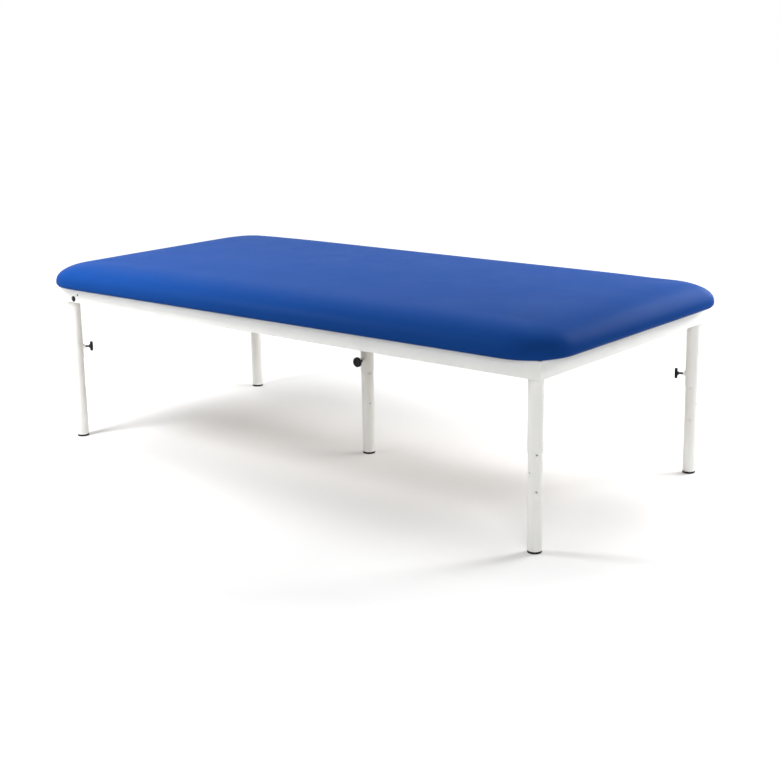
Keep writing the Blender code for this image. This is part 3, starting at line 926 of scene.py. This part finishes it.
def threaded_boss():
    chamfer = BOSS_CHAMFER
    start = SLEEVE_RADIUS - BOSS_ROOT
    points = [(BOSS_BORE, start), (BOSS_BORE, BOSS_END - chamfer / 2)]
    points += [(BOSS_BORE + chamfer / 2, BOSS_END), (BOSS_RADIUS - chamfer, BOSS_END)]
    points += arc(BOSS_RADIUS - chamfer, BOSS_END - chamfer, chamfer, 90, 0)
    points.append((BOSS_RADIUS, start))
    mesh = to_mesh("threaded_boss", turned(points, BOSS_STEPS, closed=True))
    saddle = rod_cutter(SLEEVE_RADIUS + SEAT_GAP / 2, -SADDLE_REACH, SADDLE_REACH, TUBE_STEPS)
    saddle.transform(LYING)
    return cut_away(mesh, [saddle])


def threaded_stud():
    """A stud with a real helical thread, cut square at both ends."""
    root = THREAD_RADIUS - THREAD_DEPTH
    shape = bmesh.new()
    corners = []
    radii = root, root, THREAD_RADIUS, THREAD_RADIUS
    turns = math.ceil((SCREW_END - SCREW_TIP) / THREAD_PITCH) + 3
    for turn in range(turns):
        start = SCREW_TIP + (turn - 2) * THREAD_PITCH
        for radius, share in zip(radii, THREAD_SHARES):
            corners.append(shape.verts.new((radius, 0, start + share * THREAD_PITCH)))
    edges = [shape.edges.new(pair) for pair in zip(corners, corners[1:])]
    bmesh.ops.spin(
        shape,
        geom=corners + edges,
        cent=(0, 0, 0),
        axis=(0, 0, 1),
        dvec=(0, 0, THREAD_PITCH / THREAD_STEPS),
        angle=math.tau,
        steps=THREAD_STEPS,
    )
    bmesh.ops.remove_doubles(shape, verts=shape.verts, dist=MERGE_DISTANCE * 10)
    for height, side in ((SCREW_TIP, -1), (SCREW_END, 1)):
        geometry = list(shape.verts) + list(shape.edges) + list(shape.faces)
        bmesh.ops.bisect_plane(
            shape,
            geom=geometry,
            dist=MERGE_DISTANCE,
            plane_co=(0, 0, height),
            plane_no=(0, 0, side),
            clear_outer=True,
        )
    bmesh.ops.holes_fill(shape, edges=[e for e in shape.edges if e.is_boundary], sides=0)
    bmesh.ops.recalc_face_normals(shape, faces=shape.faces)
    return to_mesh("threaded_stud", shape, THREAD_SMOOTH_ANGLE)


def hand_knob():
    """A low round knob with a fluted rim, a dished face and a hub."""
    rim = KNOB_RIM_RADIUS
    fillet = KNOB_HUB_FILLET
    edge = KNOB_HUB_EDGE
    disc_back = KNOB_START + KNOB_HUB_LENGTH
    dish = KNOB_FACE - KNOB_DISH_DEPTH
    dish_radius, face_radius = (KNOB_RADIUS * share for share in KNOB_DISH)
    socket = THREAD_RADIUS + SEAT_GAP
    socket_end = SCREW_END + SEAT_GAP
    points = [(0, dish), (dish_radius, dish), (face_radius, KNOB_FACE)]
    points += arc(KNOB_RADIUS - rim, KNOB_FACE - rim, rim, 90, 0, KNOB_RIM_STEPS)
    points += arc(KNOB_RADIUS - rim, disc_back + rim, rim, 0, -90, KNOB_RIM_STEPS)
    points += arc(KNOB_HUB_RADIUS + fillet, disc_back - fillet, fillet, 90, 180)
    points += arc(KNOB_HUB_RADIUS - edge, KNOB_START + edge, edge, 0, -90)
    points += [(socket, KNOB_START), (socket, socket_end), (0, socket_end)]
    shape = turned(points, KNOB_STEPS)
    inner = KNOB_RADIUS * KNOB_FLUTE_START
    for vertex in shape.verts:
        radius = vertex.co.xy.length
        if radius > inner and vertex.co.z > disc_back - MERGE_DISTANCE:
            angle = math.atan2(vertex.co.y, vertex.co.x)
            wave = (0.5 + 0.5 * math.cos(KNOB_FLUTES * angle)) ** 2
            reach = (radius - inner) / (KNOB_RADIUS - inner)
            vertex.co.xy *= 1 - KNOB_FLUTE_DEPTH / radius * wave * reach
    return to_mesh("hand_knob", shape)


def make_legs():
    sleeve = upper_tube()
    post = lower_tube(HOLE_STEP)
    post_turned_over = lower_tube(-HOLE_STEP)
    foot = foot_cap()
    boss = threaded_boss()
    stud = threaded_stud()
    knob = hand_knob()
    weld = boss_weld()
    for leg in LEGS:
        stand = leg_matrix(leg)
        clamp = clamp_matrix(leg)
        turned_post = stand @ Matrix.Rotation(POST_TURNS.get(leg, 0), 4, "Z")
        tube = post_turned_over if leg == POST_TURNED_OVER else post
        on_leg, on_screw, on_knob = (leg + body for body in ("_leg", "_screw", "_knob"))
        pieces = (
            ("_upper_tube", sleeve, stand, POWDER_COAT, "frame", "white_paint", ["_sleeve"]),
            ("_lower_tube", tube, turned_post, POWDER_COAT, on_leg, "white_paint", ["_post"]),
            ("_foot_cap", foot, stand, RUBBER, on_leg, "black_rubber", ["_foot"]),
            ("_threaded_boss", boss, clamp, POWDER_COAT, "frame", "white_paint", ["_clamp_boss"]),
            ("_boss_weld", weld, stand, POWDER_COAT, "frame", "white_paint", []),
            ("_threaded_stud", stud, clamp, DARK_STEEL, on_screw, "zinc_steel", ["_clamp_screw"]),
            ("_hand_knob", knob, clamp, MOULDED_PLASTIC, on_knob, "black_plastic", ["_clamp_knob"]),
        )
        for name, mesh, place, material, body, slot, ends in pieces:
            replaced = [leg + end for end in ends]
            add_piece(leg + name, moved(mesh, place), material, body, slot, *replaced)


# Welds
def bead_mesh(paths, radius, cyclic=False, rough=True):
    """Round rods along paths of points. A rough one has the ripples of a weld."""
    curve = bpy.data.curves.new("beads", "CURVE")
    curve.dimensions = "3D"
    curve.bevel_depth = radius
    curve.bevel_resolution = 3 if rough else 1
    curve.use_fill_caps = not cyclic
    for path in paths:
        spline = curve.splines.new("POLY")
        spline.points.add(len(path) - 1)
        spline.use_cyclic_u = cyclic
        for number, (point, place) in enumerate(zip(spline.points, path)):
            point.co = (*place, 1.0)
            point.radius = WELD_DIP if rough and number % 2 else 1.0
        if rough and not cyclic:
            spline.points[0].radius = WELD_END
            spline.points[-1].radius = WELD_END
    holder = link(bpy.data.objects.new("beads", curve))
    depsgraph = bpy.context.evaluated_depsgraph_get()
    mesh = bpy.data.meshes.new_from_object(holder.evaluated_get(depsgraph), depsgraph=depsgraph)
    bpy.data.objects.remove(holder)
    shape = bmesh.new()
    shape.from_mesh(mesh)
    bmesh.ops.remove_doubles(shape, verts=shape.verts, dist=MERGE_DISTANCE)
    bmesh.ops.recalc_face_normals(shape, faces=shape.faces)
    return to_mesh("beads", shape, WELD_SMOOTH_ANGLE)


def straight_bead(start, end):
    start = Vector(start)
    end = Vector(end)
    steps = max(2, round((end - start).length / (WELD_RIPPLE / 2)))
    return [start.lerp(end, step / steps) for step in range(steps + 1)]


def boss_weld():
    """The bead round the foot of a clamp boss, where it meets the round sleeve."""
    steps = 2 * round(math.tau * BOSS_RADIUS / WELD_RIPPLE)
    path = []
    for step in range(steps):
        angle = step / steps * math.tau
        y = BOSS_RADIUS * math.cos(angle)
        z = BOSS_RADIUS * math.sin(angle)
        path.append((math.sqrt(SLEEVE_RADIUS**2 - y**2), y, CLAMP_HEIGHT + z))
    return bead_mesh([path], BOSS_WELD_RADIUS, cyclic=True)


def make_frame_welds():
    low = RAIL_BOTTOM + WELD_MARGIN
    high = RAIL_TOP - WELD_MARGIN
    inner_x = FRAME_HALF_LENGTH - RAIL_WIDTH
    inner_y = FRAME_HALF_WIDTH - RAIL_WIDTH
    spots = []
    for leg in LEGS[:4]:
        place = middle(leg + "_post")
        side_x = math.copysign(1, place.x)
        side_y = math.copysign(1, place.y)
        spots.append((place.x - side_x * WELD_OFFSET, side_y * inner_y))
        spots.append((side_x * inner_x, place.y - side_y * WELD_OFFSET))
    for side in ("left", "right"):
        box_low, box_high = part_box(side + "_cross_rail")
        spots += [(x, y) for x in (box_low.x, box_high.x) for y in (-inner_y, inner_y)]
    for x in (-SLEEVE_RADIUS, SLEEVE_RADIUS):
        spots += [(x, y) for y in (-WELD_OFFSET, WELD_OFFSET)]
    paths = [straight_bead((x, y, low), (x, y, high)) for x, y in spots]
    for name in FIXINGS:
        box_low, box_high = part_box(name + "_board_tab")
        centre = (box_low + box_high) / 2
        if box_high.x - box_low.x > box_high.y - box_low.y:
            spot = Vector((centre.x, math.copysign(inner_y, centre.y), box_low.z))
            reach = Vector((TAB_WELD_REACH, 0, 0))
        else:
            spot = Vector((math.copysign(inner_x, centre.x), centre.y, box_low.z))
            reach = Vector((0, TAB_WELD_REACH, 0))
        paths.append(straight_bead(spot - reach, spot + reach))
    mesh = bead_mesh(paths, WELD_RADIUS)
    add_piece("frame_welds", mesh, POWDER_COAT, "frame", "white_paint")


# Board fixings and hem
def tab_mesh(name):
    low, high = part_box(name + "_board_tab")
    shape = block(low, high)
    centre = (low + high) / 2
    upright = [
        edge
        for edge in shape.edges
        if (edge.verts[0].co - edge.verts[1].co).xy.length < MERGE_DISTANCE
        and edge.verts[0].co.xy.length < centre.xy.length
    ]
    rounded_edges(shape, upright, TAB_CORNER_RADIUS, TAB_CORNER_STEPS)
    sharp = [edge for edge in shape.edges if edge.calc_face_angle(0.0) > math.radians(60)]
    rounded_edges(shape, sharp, TAB_EDGE_RADIUS, TAB_EDGE_STEPS)
    place = middle(name + "_board_screw")
    hole = rod_cutter(TAB_HOLE_RADIUS, low.z - CUT_CLEARANCE, high.z + CUT_CLEARANCE)
    hole.transform(Matrix.Translation((place.x, place.y, 0)))
    return cut_away(to_mesh("fixing_tab", shape), [hole])


def wood_screw():
    """A pan-head wood screw, head down, with a cross recess."""
    low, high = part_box("front_left_board_screw")
    radius = (high.x - low.x) / 2
    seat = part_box("front_left_board_tab")[0].z - SEAT_GAP
    head = seat - low.z
    points = [(0, high.z), (SHANK_RADIUS, high.z - SHANK_POINT), (SHANK_RADIUS, seat)]
    points += [(radius - HEAD_EDGE, seat), (radius, seat - HEAD_EDGE)]
    points += [(radius * share, seat - head * drop) for share, drop in HEAD_DOME]
    points += [(radius * HEAD_FLAT[0], low.z + HEAD_FLAT[1]), (0, low.z)]
    mesh = to_mesh("wood_screw", turned(points, HEAD_STEPS))
    cutters = []
    for x, y in ((RECESS_REACH, RECESS_WIDTH), (RECESS_WIDTH, RECESS_REACH)):
        slot = block((-x, -y, low.z - RECESS_DEPTH), (x, y, low.z + RECESS_DEPTH))
        cutters.append(to_mesh("cutter", slot))
    return cut_away(mesh, cutters)


def make_fixings():
    screw = wood_screw()
    for name in FIXINGS:
        tab = tab_mesh(name)
        tab_node = name + "_board_tab"
        screw_node = name + "_board_screw"
        add_piece(name + "_fixing_tab", tab, POWDER_COAT, "frame", "white_paint", tab_node)
        place = middle(screw_node)
        mesh = moved(screw, Matrix.Translation((place.x, place.y, 0)))
        add_piece(name + "_wood_screw", mesh, ZINC, "frame", "zinc_steel", screw_node)


def make_hem():
    """The edge of the cover, folded under the board and cut by hand, just above the rails."""
    outer_x = BOARD_HIGH.x + SEAT_GAP / 2
    outer_y = BOARD_HIGH.y + SEAT_GAP / 2
    width = outer_x - FRAME_HALF_LENGTH + RAIL_WIDTH + HEM_WIDTH
    shape = bmesh.new()
    corner_loop(shape, outer_x, outer_y, CORNER_RADIUS - PAD_HIGH.x + BOARD_HIGH.x, BOARD_LOW.z)
    bmesh.ops.inset_region(
        shape,
        faces=list(shape.faces),
        thickness=width,
        use_boundary=True,
        use_even_offset=True,
    )
    inside = [face for face in shape.faces if not any(edge.is_boundary for edge in face.edges)]
    bmesh.ops.delete(shape, geom=inside, context="FACES_ONLY")
    straight = [e for e in shape.edges if e.is_boundary and e.calc_length() > 2 * width]
    bmesh.ops.subdivide_edges(shape, edges=straight, cuts=HEM_CUTS, use_grid_fill=True)
    for vertex in shape.verts:
        from_long_side = outer_y - abs(vertex.co.y)
        from_short_side = outer_x - abs(vertex.co.x)
        run = vertex.co.x + vertex.co.y
        waves = (size * math.sin(run * rate + start) for size, rate, start in HEM_WAVES)
        wave = HEM_WAVE * sum(waves)
        if abs(from_long_side - width) < HEM_WAVE:
            vertex.co.y += wave
        elif abs(from_short_side - width) < HEM_WAVE:
            vertex.co.x += wave
    bmesh.ops.translate(shape, verts=shape.verts, vec=(0, 0, -HEM_GAP))
    lower = bmesh.ops.extrude_face_region(shape, geom=list(shape.faces), use_keep_orig=True)["geom"]
    lower = [item for item in lower if isinstance(item, bmesh.types.BMVert)]
    bmesh.ops.translate(shape, verts=lower, vec=(0, 0, -HEM_THICKNESS))
    bmesh.ops.recalc_face_normals(shape, faces=shape.faces)
    add_piece("cover_hem", to_mesh("cover_hem", shape), COATED_CLOTH, "frame", "blue_cover")


def staple_path(x, y, along_x):
    """The wire of one staple, its crown flat on the hem and its ends in the board."""
    under = BOARD_LOW.z - HEM_GAP - HEM_THICKNESS
    half = STAPLE_LENGTH / 2
    crown = half * STAPLE_CROWN
    ends = under + STAPLE_BEND
    path = []
    for run, height in ((-half, ends), (-crown, under), (crown, under), (half, ends)):
        path.append((x + run, y, height) if along_x else (x, y + run, height))
    return path


def make_staples():
    inner_x = FRAME_HALF_LENGTH - RAIL_WIDTH
    inner_y = FRAME_HALF_WIDTH - RAIL_WIDTH
    inset = HEM_WIDTH * STAPLE_INSET
    obstacles = [middle(name + "_board_tab") for name in FIXINGS]
    obstacles += [middle(leg + "_sleeve") for leg in LEGS[:4]]
    obstacles += [Vector((0, -inner_y, 0)), Vector((0, inner_y, 0))]
    spots = []
    for number in STAPLE_NUMBERS:
        along = number * STAPLE_PITCH + STAPLE_PITCH / 2
        for side in (-1, 1):
            if abs(along) < inner_x - inset:
                spots.append((along, side * (inner_y - inset), True))
            if abs(along) < inner_y - inset:
                spots.append((side * (inner_x - inset), along, False))
    paths = []
    for x, y, along_x in spots:
        if all((Vector((x, y)) - place.xy).length > STAPLE_CLEARANCE for place in obstacles):
            paths.append(staple_path(x, y, along_x))
    mesh = bead_mesh(paths, STAPLE_RADIUS, rough=False)
    add_piece("hem_staples", mesh, ZINC, "frame", "zinc_steel")


def make_board():
    board = frame["nodes"]["base_board"]
    board.data.materials.clear()
    board.data.materials.append(PLYWOOD)


make_mattress()
make_board()
make_frame()
make_plug()
make_legs()
make_frame_welds()
make_fixings()
make_hem()
make_staples()


# Stage, light and camera
def make_floor():
    """A pale floor that keeps the shadow and hides nothing from below."""
    shape = bmesh.new()
    bmesh.ops.create_grid(shape, x_segments=1, y_segments=1, size=FLOOR_REACH)
    bmesh.ops.translate(shape, verts=shape.verts, vec=(0, 0, -FLOOR_GAP))
    mesh = bpy.data.meshes.new("floor")
    shape.to_mesh(mesh)
    shape.free()
    floor = link(bpy.data.objects.new("floor", mesh))
    material = bpy.data.materials.new("pale_floor")
    material.use_nodes = True
    tree = material.node_tree
    tree.nodes.clear()
    plain = add_node(tree, "ShaderNodeBsdfDiffuse", Color=FLOOR_COLOUR)
    place = tree.nodes.new("ShaderNodeTexCoord").outputs["Object"]
    distance = add_node(tree, "ShaderNodeVectorMath", Vector=place)
    distance.operation = "LENGTH"
    clearing = add_node(
        tree,
        "ShaderNodeMapRange",
        Value=distance.outputs["Value"],
        From_Min=FLOOR_SPOT[0],
        From_Max=FLOOR_SPOT[1],
        To_Min=FLOOR_GLOW[0],
        To_Max=FLOOR_GLOW[1],
    )
    strength = tree.nodes.new("ShaderNodeMath")
    strength.operation = "MULTIPLY"
    tree.links.new(clearing.outputs["Result"], strength.inputs[0])
    tree.links.new(seen_directly(tree), strength.inputs[1])
    strength = strength.outputs["Value"]
    glow = add_node(tree, "ShaderNodeEmission", Color=WHITE, Strength=strength)
    upper = tree.nodes.new("ShaderNodeAddShader")
    tree.links.new(plain.outputs["BSDF"], upper.inputs[0])
    tree.links.new(glow.outputs["Emission"], upper.inputs[1])
    clear = tree.nodes.new("ShaderNodeBsdfTransparent")
    shown = tree.nodes.new("ShaderNodeMixShader")
    tree.links.new(tree.nodes.new("ShaderNodeNewGeometry").outputs["Backfacing"], shown.inputs[0])
    tree.links.new(upper.outputs["Shader"], shown.inputs[1])
    tree.links.new(clear.outputs["BSDF"], shown.inputs[2])
    output = tree.nodes.new("ShaderNodeOutputMaterial")
    tree.links.new(shown.outputs["Shader"], output.inputs["Surface"])
    mesh.materials.append(material)


def seen_directly(tree):
    """1 for rays from the camera, and for reflected and refracted ones."""
    path = tree.nodes.new("ShaderNodeLightPath")
    total = path.outputs["Is Camera Ray"]
    for name in ("Is Glossy Ray", "Is Transmission Ray"):
        added = tree.nodes.new("ShaderNodeMath")
        added.operation = "MAXIMUM"
        tree.links.new(total, added.inputs[0])
        tree.links.new(path.outputs[name], added.inputs[1])
        total = added.outputs["Value"]
    return total


def make_world():
    world = bpy.data.worlds.new("studio")
    bpy.context.scene.world = world
    world.use_nodes = True
    tree = world.node_tree
    tree.nodes.clear()
    seen = seen_directly(tree)
    strength = add_node(tree, "ShaderNodeMapRange", Value=seen, To_Min=AMBIENT, To_Max=1.0)
    strength = strength.outputs["Result"]
    sky = add_node(tree, "ShaderNodeBackground", Color=WHITE, Strength=strength)
    output = tree.nodes.new("ShaderNodeOutputWorld")
    tree.links.new(sky.outputs["Background"], output.inputs["Surface"])


def make_lamp(name, place, target, width, height, power, reflected):
    data = bpy.data.lights.new(name, "AREA")
    data.shape = "RECTANGLE"
    data.size = width
    data.size_y = height
    data.energy = power
    lamp = link(bpy.data.objects.new(name, data))
    lamp.location = place
    lamp.rotation_euler = (Vector(target) - Vector(place)).to_track_quat("-Z", "Y").to_euler()
    lamp.visible_camera = False
    lamp.visible_glossy = reflected


def make_lamps():
    for lamp in LAMPS:
        make_lamp(*lamp)


def make_camera():
    data = bpy.data.cameras.new("camera")
    data.lens = CAMERA_LENS
    data.sensor_width = CAMERA_SENSOR
    camera = link(bpy.data.objects.new("camera", data))
    level = math.cos(CAMERA_ELEVATION)
    back = Vector(
        (
            math.sin(CAMERA_AZIMUTH) * level,
            -math.cos(CAMERA_AZIMUTH) * level,
            math.sin(CAMERA_ELEVATION),
        )
    )
    right = Vector((math.cos(CAMERA_AZIMUTH), math.sin(CAMERA_AZIMUTH), 0))
    facing = Matrix((right, back.cross(right), back)).transposed()
    turn = facing @ Matrix.Rotation(CAMERA_ROLL, 3, "Z")
    camera.matrix_world = Matrix.Translation(CAMERA_PLACE) @ turn.to_4x4()
    bpy.context.scene.camera = camera


make_floor()
make_world()
make_lamps()
make_camera()
bpy.context.scene.view_settings.view_transform = "Standard"
